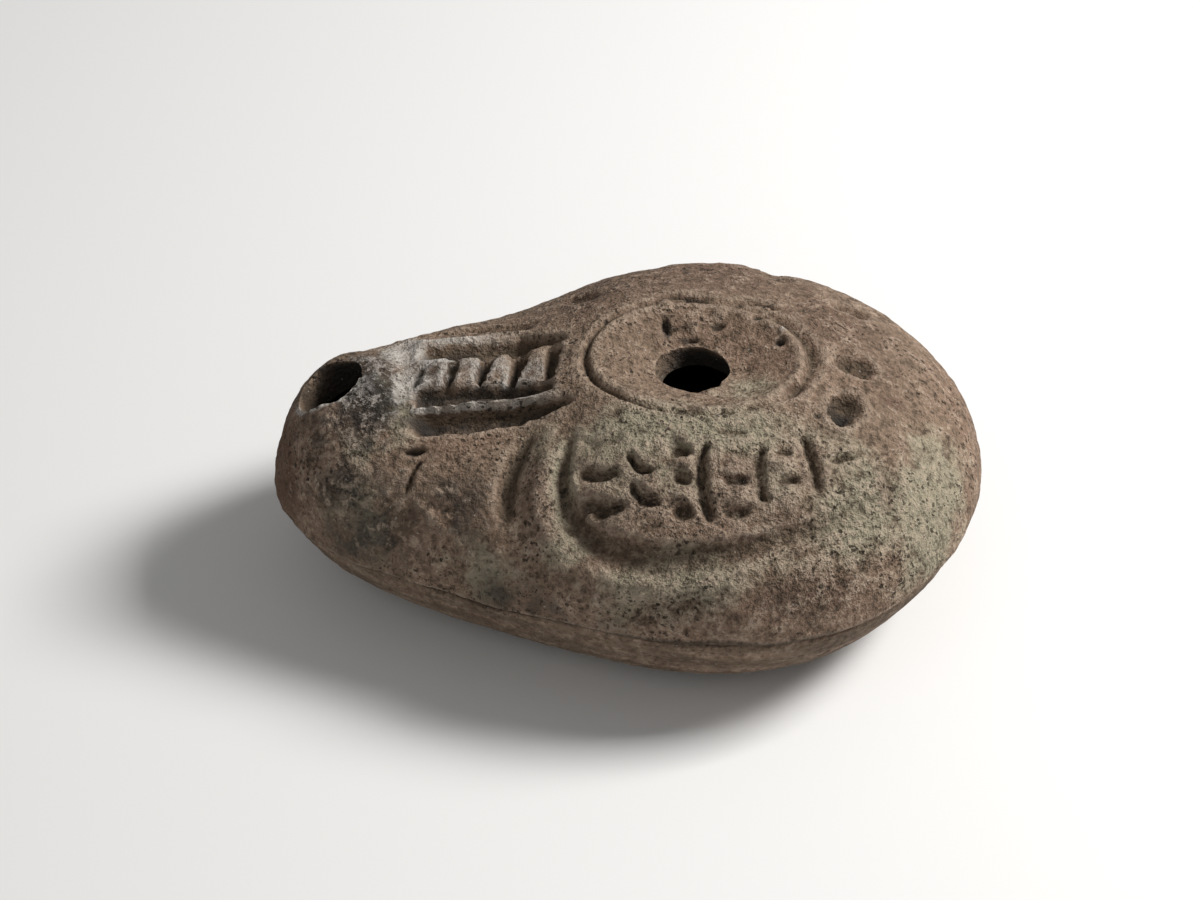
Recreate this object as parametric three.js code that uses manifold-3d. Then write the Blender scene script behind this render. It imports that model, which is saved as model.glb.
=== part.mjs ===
// A mould-made clay oil lamp of the slipper kind, 92 mm long, in one piece of fired clay.
// Millimetres, +Z up. The nozzle points along -X and the round back along +X. The lamp stands on
// its flat base at z = 0, with the origin under the middle of its length and width.

import * as THREE from 'three';
import { mergeVertices } from 'three/addons/utils/BufferGeometryUtils.js';
import Module from 'manifold-3d';

const wasm = await Module();
wasm.setup();

// Body: lengths along X are measured from the middle of the lamp

const HALF_LENGTH = 46;
const WALL = 4;
const SEAM_HEIGHT = 14;             // where the upper and lower mould halves meet
const SEAM_RISE = 1.15;             // how much higher the seam is at the back than at the middle

const NOZZLE_HALF_WIDTH = 25.8;     // of the oval that the nozzle end follows
const BODY_HALF_WIDTH = 40;         // of the oval that the back end follows
const WIDENS_FROM = -33;
const WIDENS_TO = 39;

const NOZZLE_CROWN = 16.2;          // height of the top above the seam
const BODY_CROWN = 20.8;
const CROWN_RISES_FROM = -16;
const CROWN_RISES_TO = 1;

const END_CURVES = {                // exponents of the end curves: 2 is an ellipse, more is blunter
  nozzlePlan: 2,
  nozzleCrown: 9.1,
  backPlan: 1.87,
  backCrown: 2.13,
};

const COLLAR_X = -39;               // the raised rim round the wick hole
const COLLAR_HEIGHT = 2.15;
const COLLAR_SPREAD = 4.1;

const NOZZLE_DEPTH = 16;            // of the lower half below the seam, before the base cuts it flat
const BODY_DEPTH = 19.3;
const DEEPENS_FROM = -23;
const DEEPENS_TO = 23;

// Discus: a dish with a ring groove round it, and the filling hole in the middle

const DISCUS_X = 8.6;
const DISCUS_Y = -0.4;
const DISCUS_RADIUS = 14.2;         // along X, to the middle of the ring groove
const DISCUS_SQUASH = 0.79;         // its width over its length
const DISH_DEPTH = 3.1;
const RING_DEPTH = 1.1;
const RING_HALF_WIDTH = 1.1;

const FILL_RADIUS = 4.5;

// Wick hole: punched square to the sloping rim of the nozzle

const WICK_CENTRE = [-38.7, 0.4, 28.7];
const WICK_RADIUS = 5;
const WICK_LEAN = 35;
const PUNCH_LENGTH = 18;

// Channel between the discus and the nozzle, in plan

const CHANNEL_GROOVES = [
  { from: [-26, 12.3], to: [-13, 13.4], halfWidth: 1.5, depth: 0.9 },
  { from: [-27, 7.4], to: [-8.6, 5.6], halfWidth: 2.0, depth: 1.5 },
  { from: [-26, -2.6], to: [-10, -2.2], halfWidth: 1.8, depth: 1.4 },
  { from: [-27.5, -7.4], to: [-7, -7.6], halfWidth: 2.3, depth: 1.6 },
];
const STEP_FIRST_X = -22.6;         // oblique cuts that part the row of raised blocks
const STEP_SPACING = 4.3;
const STEP_COUNT = 4;
const STEP_LEAN = 0.9;              // how far the outer end of a cut lies back along X
const STEP_FROM_Y = -0.6;
const STEP_TO_Y = 4.6;
const STEP_HALF_WIDTH = 0.65;
const STEP_DEPTH = 1.1;

// Dimples pressed round the back of the discus, in plan: centre, half length, half width, depth

const DIMPLES = [
  { at: [28.5, -0.4], size: [2.7, 3.1], depth: 1.3 },
  { at: [26, -10.2], size: [2.4, 2.9], depth: 2.1 },
  { at: [29.8, 14], size: [2.4, 2.1], depth: 1.1 },
  { at: [-4.6, 15.4], size: [1.8, 2.6], depth: 0.9 },
];

// Panel on the near shoulder, at -Y: two curved grooves with a ridge between them, round a field

const PANEL_X = 9.5;                // middle of the inner groove's arc, in plan
const PANEL_Y = -11.5;
const PANEL_HALF_LENGTH = 18.4;
const PANEL_HALF_WIDTH = 17;
const PANEL_ARC_FROM = 175;         // degrees, from the nozzle side round to the back
const PANEL_ARC_TO = 338;
const PANEL_GROOVE = { halfWidth: 1.7, depth: 1.3 };
const CRESCENT_POINTS = [[-10.8, -10.6], [-13.4, -14.6], [-15, -18.6], [-15, -21.6]];
const CRESCENT_GROOVE = { halfWidth: 1.6, depth: 1.2 };

// Strokes in the panel's field: upright cuts, and two rows of short bars between them

const UPRIGHT_XS = [8.6, 15.6, 22.2];
const UPRIGHT_FROM_Y = -16;
const UPRIGHT_TO_Y = -23;
const BAR_XS = [-4.6, 0.2, 4.8, 12.1, 19];
const BAR_ROWS = [-17.6, -22.2];
const BAR_LENGTH = 2.9;
const BAR_DROP = 0.9;
const STROKE = { halfWidth: 0.8, depth: 0.8 };

// Far shoulder, at +Y: one long groove and one short stroke above it

const FAR_GROOVE_POINTS = [[-8, 25.6], [-4, 29], [4, 31.2], [12, 31.2], [19, 29.4], [25.5, 25.8]];
const FAR_GROOVE = { halfWidth: 1.4, depth: 0.9 };
const FAR_STROKE_FROM = [5.5, 25.6];
const FAR_STROKE_TO = [5.4, 29];

// Base: a shallow line cut near the edge of the flat underside

const BASE_LINE_X = 2;
const BASE_LINE_HALF_LENGTH = 21;
const BASE_LINE_HALF_WIDTH = 15;
const BASE_LINE_RADIUS = 0.9;

// How many facets each form gets

const BODY_FACETS = { around: 46, along: 36 };
const HOLLOW_FACETS = { around: 24, along: 18 };
const DISCUS_SIDES = 36;
const PUNCH_SIDES = 28;
const TUBE_SIDES = 8;

const smoothstep = (from, to, x) => THREE.MathUtils.smoothstep(x, from, to);
const lerp = THREE.MathUtils.lerp;

// The lamp's cross-section at x: half an ellipse above the seam and half an ellipse below it.
// With an inset the same section gives the hollow inside a wall of that thickness.
function sectionAt(x, inset = 0) {
  const u = THREE.MathUtils.clamp(x / (HALF_LENGTH - inset), -1, 1);
  const endCurve = (exponent) => Math.sqrt(1 - Math.abs(u) ** exponent);
  const inPlan = endCurve(u < 0 ? END_CURVES.nozzlePlan : END_CURVES.backPlan);
  const inCrown = endCurve(u < 0 ? END_CURVES.nozzleCrown : END_CURVES.backCrown);
  const width = lerp(NOZZLE_HALF_WIDTH, BODY_HALF_WIDTH, smoothstep(WIDENS_FROM, WIDENS_TO, x));
  const crown = lerp(NOZZLE_CROWN, BODY_CROWN, smoothstep(CROWN_RISES_FROM, CROWN_RISES_TO, x));
  const depth = lerp(NOZZLE_DEPTH, BODY_DEPTH, smoothstep(DEEPENS_FROM, DEEPENS_TO, x));
  const collar = COLLAR_HEIGHT * Math.exp(-(((x - COLLAR_X) / COLLAR_SPREAD) ** 2));
  return {
    halfWidth: inPlan * (width - inset),
    crown: inCrown * (crown + collar - inset),
    depth: endCurve(2) * (depth - inset),
    seam: SEAM_HEIGHT + (SEAM_RISE * x) / HALF_LENGTH,
  };
}

// Height of the lamp's top at a place in plan
function crownHeight(x, y) {
  const { halfWidth, crown, seam } = sectionAt(x);
  const across = Math.min(Math.abs(y) / halfWidth, 1);
  return seam + crown * Math.sqrt(1 - across * across);
}

function crownNormal(x, y) {
  const step = 0.05;
  const slopeX = (crownHeight(x + step, y) - crownHeight(x - step, y)) / (2 * step);
  const slopeY = (crownHeight(x, y + step) - crownHeight(x, y - step)) / (2 * step);
  return new THREE.Vector3(-slopeX, -slopeY, 1).normalize();
}

// A point of the top, moved out along its normal
function abovePlan(x, y, offset) {
  return crownNormal(x, y).multiplyScalar(offset).add(new THREE.Vector3(x, y, crownHeight(x, y)));
}

// A closed mesh as a solid that can be cut, and back again
function toSolid(geometry) {
  const plain = geometry.index ? geometry.toNonIndexed() : geometry.clone();
  plain.deleteAttribute('normal');
  plain.deleteAttribute('uv');
  const merged = mergeVertices(plain, 1e-4);
  return new wasm.Manifold(new wasm.Mesh({
    numProp: 3,
    vertProperties: new Float32Array(merged.attributes.position.array),
    triVerts: new Uint32Array(merged.index.array),
  }));
}

function toGeometry(solid) {
  const mesh = solid.getMesh();
  const geometry = new THREE.BufferGeometry();
  geometry.setAttribute('position', new THREE.Float32BufferAttribute(mesh.vertProperties, 3));
  geometry.setIndex(new THREE.Uint32BufferAttribute(mesh.triVerts, 1));
  geometry.computeVertexNormals();
  return geometry;
}

// The body's form: a sphere with its poles at the two ends, drawn out to the section at each x
function bodySolid(facets, inset) {
  const geometry = new THREE.SphereGeometry(1, facets.around, facets.along);
  geometry.rotateZ(Math.PI / 2);
  const positions = geometry.attributes.position;
  for (let i = 0; i < positions.count; i += 1) {
    const x = positions.getX(i) * (HALF_LENGTH - inset);
    const across = positions.getY(i);
    const up = positions.getZ(i);
    const reach = Math.hypot(across, up) || 1;
    const section = sectionAt(x, inset);
    const rise = up > 0 ? section.crown : section.depth;
    positions.setXYZ(i, x, (section.halfWidth * across) / reach, section.seam + (rise * up) / reach);
  }
  return toSolid(geometry);
}

// A round groove of a given half width and depth along a line on the top, fading out at its ends
class GroovePath extends THREE.Curve {
  constructor(plan, radius, depth) {
    super();
    this.plan = plan;
    this.radius = radius;
    this.depth = depth;
  }

  getPoint(t) {
    const { x, y } = this.plan.getPoint(t);
    const fade = Math.min(1, Math.sin(Math.PI * t) * 3);
    return abovePlan(x, y, this.radius - this.depth * fade);
  }
}

function grooveCut(plan, { halfWidth, depth }, steps) {
  const radius = (halfWidth ** 2 + depth ** 2) / (2 * depth);
  const section = new THREE.Shape().absarc(0, 0, radius, 0, 2 * Math.PI);
  const geometry = new THREE.ExtrudeGeometry(section, {
    extrudePath: new GroovePath(plan, radius, depth),
    steps,
    curveSegments: TUBE_SIDES / 2,
  });
  return toSolid(geometry);
}

function straightPlan(from, to) {
  return new THREE.LineCurve(new THREE.Vector2(...from), new THREE.Vector2(...to));
}

// A pressed dimple: a flattened ball let into the surface
function dimpleCut({ at: [x, y], size: [halfLength, halfWidth], depth }) {
  const geometry = new THREE.SphereGeometry(1, 12, 8);
  geometry.scale(halfLength * 1.3, halfWidth * 1.3, depth * 2);
  const upright = new THREE.Vector3(0, 0, 1);
  const turn = new THREE.Quaternion().setFromUnitVectors(upright, crownNormal(x, y));
  geometry.applyQuaternion(turn);
  const place = abovePlan(x, y, depth);
  geometry.translate(place.x, place.y, place.z);
  return toSolid(geometry);
}

// The discus: the dish and its ring groove in one turned form, laid over the crown. Lowered by the
// wall it gives the underside of the discus inside the hollow.
function discusSolid(lowered = 0) {
  const profile = [[0, -DISH_DEPTH], [FILL_RADIUS, -DISH_DEPTH]];
  const inner = DISCUS_RADIUS - RING_HALF_WIDTH;
  const outer = DISCUS_RADIUS + RING_HALF_WIDTH;
  for (const share of [0.5, 1]) {
    const depth = lerp(DISH_DEPTH, RING_DEPTH * 0.55, share * share);
    profile.push([lerp(FILL_RADIUS, inner, share), -depth]);
  }
  profile.push([DISCUS_RADIUS, -RING_DEPTH], [outer, 0], [outer + 0.6, 2], [0, 2]);
  const points = profile.map(([r, z]) => new THREE.Vector2(r, z));
  const geometry = new THREE.LatheGeometry(points, DISCUS_SIDES);
  geometry.rotateX(Math.PI / 2);
  geometry.scale(1, DISCUS_SQUASH, 1);
  const positions = geometry.attributes.position;
  for (let i = 0; i < positions.count; i += 1) {
    const x = positions.getX(i) + DISCUS_X;
    const y = positions.getY(i) + DISCUS_Y;
    positions.setXYZ(i, x, y, positions.getZ(i) + crownHeight(x, y) - lowered);
  }
  return toSolid(geometry);
}

// A round punch through the wall, leaning in the XZ plane
function punchCut([x, y, z], radius, lean, length) {
  const geometry = new THREE.CylinderGeometry(radius, radius, length, PUNCH_SIDES);
  geometry.rotateX(Math.PI / 2);
  geometry.rotateY(THREE.MathUtils.degToRad(-lean));
  geometry.translate(x, y, z);
  return toSolid(geometry);
}

function channelCuts() {
  const cuts = CHANNEL_GROOVES.map((groove) => {
    return grooveCut(straightPlan(groove.from, groove.to), groove, 10);
  });
  for (let i = 0; i < STEP_COUNT; i += 1) {
    const x = STEP_FIRST_X + i * STEP_SPACING;
    const plan = straightPlan([x - STEP_LEAN, STEP_FROM_Y], [x + STEP_LEAN, STEP_TO_Y]);
    cuts.push(grooveCut(plan, { halfWidth: STEP_HALF_WIDTH, depth: STEP_DEPTH }, 4));
  }
  return cuts;
}

function splinePlan(points) {
  return new THREE.SplineCurve(points.map(([x, y]) => new THREE.Vector2(x, y)));
}

function panelCuts() {
  const arc = new THREE.EllipseCurve(
    PANEL_X, PANEL_Y, PANEL_HALF_LENGTH, PANEL_HALF_WIDTH,
    THREE.MathUtils.degToRad(PANEL_ARC_FROM), THREE.MathUtils.degToRad(PANEL_ARC_TO),
  );
  const crescent = splinePlan(CRESCENT_POINTS);
  return [grooveCut(arc, PANEL_GROOVE, 22), grooveCut(crescent, CRESCENT_GROOVE, 8)];
}

function uprightCuts() {
  return UPRIGHT_XS.map((x) => {
    return grooveCut(straightPlan([x, UPRIGHT_FROM_Y], [x, UPRIGHT_TO_Y]), STROKE, 4);
  });
}

function farShoulderCuts() {
  return [
    grooveCut(splinePlan(FAR_GROOVE_POINTS), FAR_GROOVE, 20),
    grooveCut(straightPlan(FAR_STROKE_FROM, FAR_STROKE_TO), STROKE, 4),
  ];
}

function barCuts() {
  const cuts = [];
  for (const y of BAR_ROWS) {
    for (const x of BAR_XS) {
      const from = [x - BAR_LENGTH / 2, y + BAR_DROP / 2];
      const to = [x + BAR_LENGTH / 2, y - BAR_DROP / 2];
      cuts.push(grooveCut(straightPlan(from, to), STROKE, 3));
    }
  }
  return cuts;
}

// Everything below a height, to cut a form off flat
function slabBelow(height) {
  const slab = new THREE.BoxGeometry(4 * HALF_LENGTH, 4 * HALF_LENGTH, 2 * SEAM_HEIGHT);
  slab.translate(0, 0, height - SEAM_HEIGHT);
  return toSolid(slab);
}

function baseLineCut() {
  const ring = new THREE.TorusGeometry(1, BASE_LINE_RADIUS / BASE_LINE_HALF_WIDTH, 6, 40);
  ring.scale(BASE_LINE_HALF_LENGTH, BASE_LINE_HALF_WIDTH, BASE_LINE_HALF_WIDTH * 0.8);
  ring.translate(BASE_LINE_X, 0, 0);
  return toSolid(ring);
}

// The hollow: the body's own form inset by the wall, with a flat floor and the discus over it
function hollowSolid() {
  return bodySolid(HOLLOW_FACETS, WALL).subtract(slabBelow(WALL)).subtract(discusSolid(WALL));
}

function lampSolid() {
  const dishFloor = crownHeight(DISCUS_X, DISCUS_Y) - DISH_DEPTH;
  const cuts = [
    slabBelow(0),
    baseLineCut(),
    hollowSolid(),
    discusSolid(),
    punchCut([DISCUS_X, DISCUS_Y, dishFloor], FILL_RADIUS, 0, PUNCH_LENGTH),
    punchCut(WICK_CENTRE, WICK_RADIUS, WICK_LEAN, PUNCH_LENGTH),
    ...channelCuts(),
    ...panelCuts(),
    ...uprightCuts(),
    ...barCuts(),
    ...farShoulderCuts(),
    ...DIMPLES.map(dimpleCut),
  ];
  return cuts.reduce((solid, cut) => solid.subtract(cut), bodySolid(BODY_FACETS, 0));
}

const firedClay = new THREE.MeshStandardMaterial({ color: 0xb49484, roughness: 0.92, metalness: 0 });

const lamp = new THREE.Mesh(toGeometry(lampSolid()), firedClay);
lamp.name = 'lamp';

const oilLamp = new THREE.Group();
oilLamp.add(lamp);

export default oilLamp;
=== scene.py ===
"""A mould-made clay oil lamp, laid out as a Blender add-on and run as a script.

The CAD frame gives the lamp's place and size. This file makes its surface as one mesh of fired
clay: the moulded form, the carving that follows paths over its top, the pits, the hollow and its
two holes, and the clay's finish. The form's own functions work in millimetres, as the part's
source does, and the meshes are in metres.
"""

import math

import bpy
import numpy as np
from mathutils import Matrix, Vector, kdtree


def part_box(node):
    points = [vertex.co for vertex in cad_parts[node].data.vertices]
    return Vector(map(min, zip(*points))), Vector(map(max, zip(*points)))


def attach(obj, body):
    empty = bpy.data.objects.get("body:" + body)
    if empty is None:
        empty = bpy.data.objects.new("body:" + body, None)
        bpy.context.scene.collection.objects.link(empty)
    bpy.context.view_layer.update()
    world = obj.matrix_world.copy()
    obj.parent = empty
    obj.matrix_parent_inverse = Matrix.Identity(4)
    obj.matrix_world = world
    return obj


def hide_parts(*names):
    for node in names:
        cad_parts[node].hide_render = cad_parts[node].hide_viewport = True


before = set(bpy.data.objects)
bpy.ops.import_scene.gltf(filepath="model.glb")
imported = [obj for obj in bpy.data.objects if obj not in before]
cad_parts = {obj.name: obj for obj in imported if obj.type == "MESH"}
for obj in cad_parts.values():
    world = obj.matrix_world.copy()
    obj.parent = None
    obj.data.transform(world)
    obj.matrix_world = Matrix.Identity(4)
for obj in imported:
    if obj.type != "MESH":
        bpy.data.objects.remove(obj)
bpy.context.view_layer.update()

bl_info = {
    "name": "Clay oil lamp",
    "version": (1, 0, 0),
    "blender": (4, 5, 0),
    "location": "View3D > Sidebar > Oil lamp",
    "description": "Makes a mould-made clay oil lamp and a plain studio round it",
    "category": "Object",
}

MM = 0.001
NODE = "lamp"

# The moulded form, in millimetres, as in the part's source

HALF_LENGTH = (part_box(NODE)[1].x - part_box(NODE)[0].x) / MM / 2
WALL = 4.0
SEAM_HEIGHT = 14.0
SEAM_RISE = 1.15
NOZZLE_HALF_WIDTH, BODY_HALF_WIDTH = 25.8, 40.0
WIDENS = (-33.0, 39.0)
NOZZLE_CROWN, BODY_CROWN = 16.2, 20.8
CROWN_RISES = (-16.0, 1.0)
END_CURVES = {"nozzle_plan": 2.0, "nozzle_crown": 9.1, "back_plan": 1.87, "back_crown": 2.13}
COLLAR_X, COLLAR_HEIGHT, COLLAR_SPREAD = -39.0, 2.15, 4.1
NOZZLE_DEPTH, BODY_DEPTH = 16.0, 19.3
DEEPENS = (-23.0, 23.0)
BASE_FILLET = 0.6
BASE_LINE = (2.0, 21.0, 15.0)       # its middle along X, half length and half width
BASE_LINE_DEPTH = 0.6
SEAM_STEP = 0.8                     # how far the lower half lies in under the upper one
SEAM_LINE_DEPTH = 0.45

# The discus and the two holes

DISCUS_X, DISCUS_Y = 8.6, -0.4
DISCUS_RADIUS = 14.2
DISCUS_SQUASH = 0.79                # its width over its length
DISCUS_EDGE = (14.6, 13.2)          # the dish fades out between these distances
LIP_INSET = 1.1                     # how far the lip lies inside the ring groove
LIP_DEPTH, DISH_DEPTH = 0.3, 3.1
WORN_SPOT = {"at": (14.2, -0.4), "spread": (1.9, 2.8), "depth": 0.8}    # beside the filling hole
FILL_RADIUS = 4.5
FILL_LEAN = 18.0
WICK_CENTRE = (-39.0, 1.3, 28.7)
WICK_RADIUS = 4.75
WICK_LEAN = 35.0
PUNCH_LENGTH = 18.0
PUNCH_SIDES = 64
PUNCH_ROWS = 31
FILL_CENTRE = (DISCUS_X - 0.8, DISCUS_Y, 31.5)
# For each hole: a place on its axis, its radius, its lean, and how much its edge is rounded down
HOLES = [(FILL_CENTRE, FILL_RADIUS, FILL_LEAN, 0.6), (WICK_CENTRE, WICK_RADIUS, WICK_LEAN, 0.5)]
# Painted shade darkens the hollow's inside but leaves each hole's lit wall bare near its rim
LIT_SIDE_REACH = (0.0, 2.0)            # how far past each hole's middle its lit wall reaches

# Pits: how many to a square millimetre, smallest and largest radius, and seed
PITS = {"wide_pits": (0.006, 0.5, 0.95, 3), "small_pits": (0.16, 0.3, 0.62, 8)}

LOOKED_AT = Vector((-3.546, 0, 17.04)) * MM

# How fine the surface is

ROWS_ALONG = 260
ROWS_OVER_TOP = 240
ROWS_UNDER = 95
HOLLOW_ROWS_ALONG = 44
HOLLOW_ROWS_AROUND = 52
PATH_STEP = 0.15


def smooth(low, high, x):
    t = np.clip((x - low) / (high - low), 0, 1)
    return t * t * (3 - 2 * t)


def mix(a, b, t):
    return a + (b - a) * t


def hump(x, centre, spread):
    return np.exp(-(((x - centre) / spread) ** 2))


def section(x, inset=0.0):
    """The cross-section at x: half width, crown over the seam, depth under it, and seam height."""
    u = np.clip(x / (HALF_LENGTH - inset), -1, 1)

    def end_curve(nozzle, back):
        exponent = np.where(u < 0, END_CURVES.get(nozzle, 2), END_CURVES.get(back, 2))
        return np.sqrt(np.maximum(1 - np.abs(u) ** exponent, 0))

    width = mix(NOZZLE_HALF_WIDTH, BODY_HALF_WIDTH, smooth(*WIDENS, x)) - inset
    crown = mix(NOZZLE_CROWN, BODY_CROWN, smooth(*CROWN_RISES, x)) - inset
    crown = crown + COLLAR_HEIGHT * hump(x, COLLAR_X, COLLAR_SPREAD)
    depth = mix(NOZZLE_DEPTH, BODY_DEPTH, smooth(*DEEPENS, x)) - inset
    return (
        width * end_curve("nozzle_plan", "back_plan"),
        crown * end_curve("nozzle_crown", "back_crown"),
        depth * end_curve("nozzle_plan", "nozzle_plan"),
        SEAM_HEIGHT + SEAM_RISE * x / HALF_LENGTH,
    )


def crown_height(x, y):
    """Height of the plain crown at a place in plan."""
    half_width, crown, _, seam = section(np.asarray(x, float))
    across = np.clip(np.abs(y) / np.maximum(half_width, 1e-6), 0, 1)
    return seam + crown * np.sqrt(1 - across * across)


def lattice_noise(points, cell, seed):
    """Smooth noise from -1 to 1: seeded random numbers on a lattice, blended between its corners."""
    size = 32
    lattice = np.random.default_rng(seed).uniform(-1, 1, (size, size, size))
    scaled = points / cell + 1000
    corner = np.floor(scaled).astype(int)
    t = scaled - corner
    t = t * t * (3 - 2 * t)
    total = np.zeros(len(points))
    for sides in np.ndindex(2, 2, 2):
        weight = np.prod(np.where(sides, t, 1 - t), axis=1)
        index = (corner + sides) % size
        total += weight * lattice[index[:, 0], index[:, 1], index[:, 2]]
    return total


def layered_noise(points, cell, seed, layers=3):
    return sum(lattice_noise(points, cell / 2**n, seed + n) / 2**n for n in range(layers)) / 1.4


# Paths of the carving, in plan. A path has its points, its half width, and its depth under the
# surface. Half width and depth are one number or a number for each point, and a negative depth
# stands proud. Depth fades out over the stretch `fade` at both ends.


def path(points, half_width, depth, fade=1.0):
    return {"points": points, "half_width": half_width, "depth": depth, "fade": fade}


CHANNEL = [
    path([(-25.5, 12.9), (-18.4, 12.7), (-11.0, 11.2)], 1.2, 0.8, 3),
    path([(-27.4, 6.4), (-20, 6.7), (-13.5, 6.8), (-7.6, 5.2)], [2.2, 2.5, 2.2, 0.7], 2.3, 2.5),
    path([(-27.4, -3.0), (-20, -3.0), (-14.5, -3.1), (-9.4, -3.5)], [2.1, 2.2, 1.7, 0.9], 2.1, 1.5),
    path([(-27.8, -7.5), (-22.5, -7.3), (-15, -6.9), (-6.8, -7.1)], [2.3, 2.4, 2.0, 0.5], 2.5, 3.0),
]
RAILS = [
    path([(-27.6, 9.6), (-21.2, 9.4), (-15.4, 10.1), (-9.6, 8.6)], 0.6, -0.4),
    path([(-28.1, -5.4), (-24.7, -5.1), (-18.8, -4.9), (-14.3, -4.9), (-9.0, -5.1)], 0.6, -0.4),
]
STEP_CUTS = [
    path([(-26.2, 3.8), (-27.2, -1.2)], [0.9, 0.5], 0.8),
    path([(-22.1, 4.4), (-23.0, -1.6)], [1.0, 0.5], 1.2),
    path([(-17.9, 4.8), (-19.0, -1.4)], [1.2, 0.5], 1.6),
    path([(-13.6, 5.0), (-14.9, -1.8)], [1.6, 0.5], 2.1),
    path([(-9.5, 4.6), (-10.3, -2.4)], [1.2, 0.8], 2.0),
]
PANEL_GROOVE = path(
    [
        (-6.6, -11.2), (-7.9, -14.0), (-8.8, -18.6), (-7.1, -23.5), (-2.3, -27.1), (3.7, -28.9),
        (12.1, -28.6), (20.6, -26.2), (26.4, -22.9), (30.0, -19.0),
    ],
    [0.9, 1.5, 1.8, 1.9, 2.0, 2.0, 1.8, 1.6, 1.4, 1.2],
    [0.3, 1.1, 1.6, 1.6, 1.5, 1.5, 1.3, 1.0, 0.7, 0.2],
    3,
)
PANEL_RIDGE = path(
    [
        (-8.7, -9.4), (-10.4, -14.0), (-11.5, -19.0), (-10.2, -24.0), (-6.2, -28.4), (1.5, -31.2),
        (10.0, -31.6), (18.0, -30.0),
    ],
    [1.4, 2.2, 2.6, 2.5, 2.2, 1.9, 1.8, 1.6],
    [-0.15, -0.6, -0.85, -0.8, -0.7, -0.45, -0.35, -0.1],
    3,
)
CRESCENT = path(
    [(-11.6, -9.6), (-13.9, -13.0), (-15.4, -17.2), (-15.4, -22.0)],
    [1.0, 1.7, 2.0, 1.4],
    [0.3, 1.2, 1.5, 0.6],
    2.5,
)
UPRIGHTS = [
    path([(9.3, -15.8), (8.3, -18.4), (8.3, -22.6), (9.4, -26.0)], [0.6, 1.2, 1.3, 0.8], 1.6, 1.2),
    path([(16.2, -15.8), (15.4, -18.4), (15.5, -21.4), (16.0, -23.8)], [0.5, 1.1, 1.2, 0.6], 1.5, 1.2),
    path([(20.9, -13.2), (22.0, -17.2), (22.9, -22.2)], [1.2, 1.2, 0.9], 1.5, 2),
]
SHORT_STROKE = [0.5, 1.0, 0.6]     # half widths along a short curved stroke
BARS = [
    path([(-6.9, -17.8), (-4.4, -18.9), (-1.6, -19.3)], [0.6, 1.3, 0.5], 1.5, 1.0),
    path([(-6.6, -21.2), (-4.0, -22.8), (-0.8, -23.1)], [0.7, 1.4, 0.5], 1.8, 1.0),
    path([(-6.4, -14.6), (-3.4, -15.2), (-0.6, -15.0)], 1.1, 0.5, 1.5),
    path([(-0.6, -16.8), (0.4, -18.8), (2.6, -20.0)], SHORT_STROKE, 1.6, 0.6),
    path([(-0.3, -20.4), (0.7, -22.4), (3.2, -23.5)], SHORT_STROKE, 1.7, 0.6),
    *[
        path([(4.5, y + 0.4), (5.6, y), (7.4, y)], [1.0, 1.3, 0.8], 1.5, 0.8)
        for y in (-17.3, -20.7, -24.6)
    ],
    *[
        path([(10.9, y), (12.6, y + 0.1), (14.3, y + 0.6)], [0.6, 1.0, 0.6], 1.2, 0.8)
        for y in (-21.2, -24.9)
    ],
    path([(10.9, -17.6), (14.2, -17.3)], 0.8, 0.6, 1.0),
    path([(17.3, -21.0), (20.6, -20.0)], [1.0, 0.6], 1.3, 0.9),
    path([(17.2, -17.2), (19.8, -16.5)], 1.0, 0.8, 0.9),
    path([(24.2, -17.3), (26.4, -16.2), (28.1, -15.7)], [0.7, 0.8, 0.5], 1.2, 1.0),
    path([(29.4, -15.6), (31.6, -17.8), (31.6, -20.8), (29.2, -23.0)], 1.0, 0.5, 2.0),
    path([(-3.5, -31.0), (3.0, -32.3), (9.0, -32.5)], 0.6, 0.8, 2.0),
    path([(14.0, -29.9), (20.0, -28.6), (26.0, -25.8)], 0.7, 0.5, 2.0),
]
PILLOWS = [
    *[path([(6.0, y)], 1.6, -0.75) for y in (-15.6, -19.0, -22.6)],
    *[path([(12.4, y)], 2.0, -0.6) for y in (-19.6, -22.9)],
    *[
        path([(x, y)], 2.1, -0.6)
        for x, y in ((-4.4, -20.6), (1.7, -21.0), (18.4, -18.6), (18.9, -22.8))
    ],
]
DISCUS_MARKS = [
    path([(4.0, 11.3), (6.6, 11.9), (11.2, 11.2)], 0.6, 1.1, 1.5),
    path([(13.6, 10.8), (16.6, 10.9), (20.0, 9.6)], 0.75, 1.6, 1.5),
    path([(4.8, 8.0), (5.0, 6.6), (5.8, 5.4)], [0.4, 0.8, 0.4], 1.1, 0.8),
    path([(7.2, 4.9), (9.6, 4.9)], [0.4, 0.6], 0.9, 0.8),
    path([(10.4, 7.2), (11.6, 6.8), (13.0, 7.2)], [0.4, 0.7, 0.4], 0.8, 0.8),
    path([(16.6, 7.6), (17.3, 7.7)], 0.7, 1.0, 0),
    path([(19.3, 3.3), (19.5, 3.0)], 0.7, 1.1, 0),
    path([(-2.8, 6.8), (-2.4, 6.2)], 0.5, 0.9, 0.3),
]
DISCUS_RELIEF = [
    path([(7.4, 6.9), (9.4, 6.8)], 1.5, -0.7, 0.5),
    path([(4.0, 9.8), (6.0, 9.9)], 1.3, -0.5, 0.5),
    path([(11.0, 9.0), (13.2, 8.8)], 1.2, -0.5, 0.5),
    path([(19.9, 5.0)], 0.5, -0.2),
]
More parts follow.
